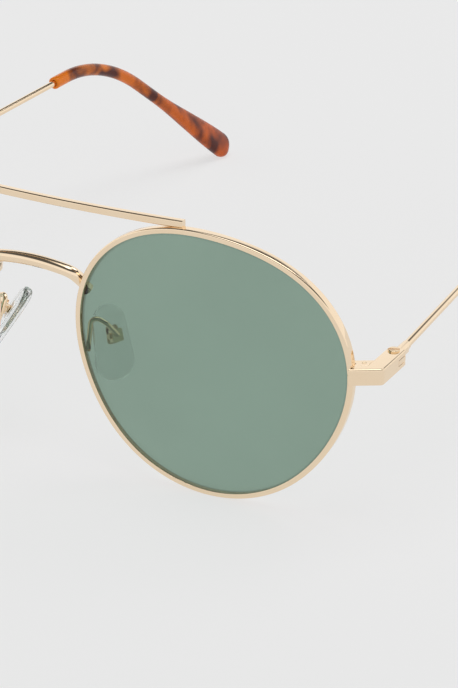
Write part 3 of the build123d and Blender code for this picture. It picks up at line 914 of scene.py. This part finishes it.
def bentPath(start, corner, end, radius, step):  # straight, arc, straight; returns points and directions
    first, second = (corner - start).normalized(), (end - corner).normalized()
    turnAngle = first.angle(second)
    trim = radius * np.tan(turnAngle / 2)
    axis = first.cross(second).normalized()
    centre = corner - first * trim + axis.cross(first) * radius
    spots, ways = [], []
    straight = (corner - start).length - trim
    for share in np.linspace(0, 1, max(2, int(straight / step)))[:-1]:
        spots.append(start + first * straight * share)
        ways.append(first)
    arcStart = start + first * straight
    for share in np.linspace(0, 1, max(3, int(radius * turnAngle / step))):
        spin = Matrix.Rotation(turnAngle * share, 3, axis)
        spots.append(centre + spin @ (arcStart - centre))
        ways.append(spin @ first)
    arcEnd = spots[-1]
    straight = (end - arcEnd).length
    for share in np.linspace(0, 1, max(2, int(straight / step)))[1:]:
        spots.append(arcEnd + second * straight * share)
        ways.append(second)
    return spots, ways, axis


def buildTip(name, side):
    hinge = jointAt[f"temple_fold_{name}"]
    corner = inFrame(*templeWire["bend"], side)
    end = inFrame(*templeWire["tip"], side)
    opening = corner - (corner - hinge).normalized() * templeTip["sleeveStart"] * mm
    spots, ways, axis = bentPath(opening, corner, end, templeWire["bendRadius"] * mm, templeTip["step"] * mm)
    travel = np.concatenate([[0], np.cumsum([(b - a).length for a, b in zip(spots, spots[1:])])])
    total = travel[-1]
    paddleFrom = total - ((end - corner).length - templeTip["paddleGap"] * mm)
    count = templeTip["sides"]
    thin = templeTip["sleeveRadius"] * mm
    rings = []
    for spot, way, gone in zip(spots, ways, travel):
        share = max(0, (gone - paddleFrom) / (total - paddleFrom))
        wide = paddleHalf(gone - paddleFrom, total - gone)
        lift = way.cross(axis)
        power = 1 - templeTip["boxiness"] * min(1, share * templeTip["boxyBy"])
        ring = []
        for index in range(count):
            angle = 2 * pi * index / count
            across, up = cos(angle), sin(angle)
            across = abs(across) ** power * (1 if across >= 0 else -1)
            up = abs(up) ** power * (1 if up >= 0 else -1)
            ring.append(spot + axis * across * thin * endTaper(share) + lift * up * wide)
        rings.append(ring)
    bore, chamfer, rounding = (templeTip[key] for key in ("bore", "boreChamfer", "mouthRounding"))
    mouth = [(bore, templeTip["boreDepth"]), (bore, chamfer), (bore + chamfer, 0)]
    for turnShare in templeTip["mouthTurns"]:
        turn = turnShare * pi / 2
        radius = templeTip["sleeveRadius"] - rounding + sin(turn) * rounding
        mouth.append((radius, (1 - cos(turn)) * rounding))
    mouthRings = [
        [ringSpot(spots[0], ways[0], axis, radius, back, index) for index in range(count)]
        for radius, back in mouth
    ]
    body = [ring for ring, gone in zip(rings, travel) if gone > templeTip["mouthRounding"] * mm]
    allRings = mouthRings + body
    points = [point for ring in allRings for point in ring]
    faces = []
    for row in range(len(allRings) - 1):
        for index in range(count):
            after = (index + 1) % count
            near, far = row * count, (row + 1) * count
            faces.append((near + index, near + after, far + after, far + index))
    faces.append(tuple(range(len(points) - count, len(points))))
    faces.append(tuple(reversed(range(count))))
    mesh = bpy.data.meshes.new(f"earTip_{name}")
    mesh.from_pydata(points, [], faces)
    tip = bpy.data.objects.new(f"earTip_{name}", mesh)
    scene.collection.objects.link(tip)
    mesh.materials.append(tortoise)
    outwards(tip)
    sharpen(mesh, 60)
    return keepPiece(tip, f"temple_{name}", "tortoise", f"temple_tip_{name}")


def ringSpot(spot, way, axis, radius, back, index):
    angle = 2 * pi * index / templeTip["sides"]
    lift = way.cross(axis)
    return spot + way * back * mm + (axis * cos(angle) + lift * sin(angle)) * radius * mm


def paddleHalf(begun, left):  # half the paddle's width: an even widening, then a half-round end
    slim, full = templeTip["sleeveRadius"] * mm, templeTip["paddleHalf"] * mm
    if left < full:
        return sqrt(max(0, full**2 - (full - left) ** 2)) + templeTip["endLeft"] * mm
    grown = min(1, max(0, begun / (begun + left - full)))
    return slim + (full - slim) * grown**2 * (3 - 2 * grown)


def endTaper(share):  # the paddle's flat faces stay level, and round off at the very end
    start, least = templeTip["taperFrom"], templeTip["endLeft"]
    if share <= start:
        return 1
    fall = (share - start) / (1 - start)
    return sqrt(max(0, 1 - fall * fall)) * (1 - least) + least


for name, side in sides.items():
    buildTip(name, side)

# Nose pads: an egg outline, a crowned face towards the nose and a flat one behind
nosePad = {
    "length": 14.4,
    "width": 7.7,
    "highShare": 0.82,
    "thickness": 1.9,
    "rounding": 0.8,
    "crown": 0.22,
    "crownSettle": 0.6,  # share of the crown by which it is let back in
    "curlSteps": 8,
    "spokes": 96,
    "rings": 10,
    "center": (11.48, 7.9, 22.5),
    "splay": 30,
    "tilt": 22,
    "rise": 1.6,
    "pinDepth": 1.9,
    "rock": {"left": -7, "right": 14},
}


def eggOutline(angle, inset):  # the hull of a large low circle and a smaller high one, seen from its middle
    low = nosePad["width"] / 2
    high = low * nosePad["highShare"]
    centres = ((low - nosePad["length"] / 2, low), (nosePad["length"] / 2 - high, high))
    lean = (centres[0][1] - centres[1][1]) / (centres[1][0] - centres[0][0])
    up = sin(angle)
    centre, radius = centres[1] if up > lean else centres[0]
    return (cos(angle) * (radius - inset), centre + up * (radius - inset))


def buildPad(name, side):
    inward, back = cos(radians(nosePad["splay"])), sin(radians(nosePad["splay"]))
    flat, fall = cos(radians(nosePad["tilt"])), sin(radians(nosePad["tilt"]))
    forward = Vector((-inward * flat, back * flat, -fall))
    across = Vector((-back, -inward, 0)).normalized()
    high = forward.cross(across)
    turned = Matrix((across, high, forward)).transposed().to_4x4()
    planeLeft = Matrix.Translation(inFrame(*nosePad["center"])) @ turned
    pinAt = planeLeft @ (Vector((0, nosePad["rise"], -nosePad["pinDepth"])) * mm)
    rock = Matrix.Translation(pinAt) @ Matrix.Rotation(radians(nosePad["rock"][name]), 4, across)
    rock = rock @ Matrix.Translation(-pinAt)
    flip = Matrix.Diagonal((side, 1, 1, 1))
    half, curl, spokes = nosePad["thickness"] / 2, nosePad["rounding"], nosePad["spokes"]
    sections = []  # inset from the outline, and height above the middle plane
    for step in range(nosePad["curlSteps"] + 1):
        angle = pi / 2 * step / nosePad["curlSteps"]
        sections.append((curl * (1 - cos(angle)), half - curl + curl * sin(angle)))
    for step in range(1, nosePad["rings"]):
        share = step / nosePad["rings"]
        reach = nosePad["width"] / 2 * nosePad["highShare"] - curl
        sections.append((curl + reach * share, half + nosePad["crown"] * (1 - (1 - share) ** 2)))
    sections = [(inset, -min(height, half)) for inset, height in reversed(sections)] + sections
    points = []
    for inset, height in sections:
        for spoke in range(spokes):
            x, y = eggOutline(2 * pi * spoke / spokes, inset)
            settled = nosePad["crown"] * nosePad["crownSettle"] if height > half else 0
            points.append(Vector((x, y, height - settled)) * mm)
    faces = []
    for row in range(len(sections) - 1):
        for spoke in range(spokes):
            after = (spoke + 1) % spokes
            near, far = row * spokes, (row + 1) * spokes
            faces.append((near + spoke, near + after, far + after, far + spoke))
    faces.append(tuple(range(len(points) - spokes, len(points))))
    faces.append(tuple(reversed(range(spokes))))
    mesh = bpy.data.meshes.new(f"siliconePad_{name}")
    mesh.from_pydata(points, [], faces)
    mesh.transform(flip @ rock @ planeLeft)
    pad = bpy.data.objects.new(f"siliconePad_{name}", mesh)
    scene.collection.objects.link(pad)
    mesh.materials.append(clearSilicone)
    outwards(pad)
    sharpen(mesh, 60)
    return keepPiece(pad, f"pad_{name}", "clear_silicone", f"nose_pad_{name}")


for name, side in sides.items():
    buildPad(name, side)
print("tips and pads made")
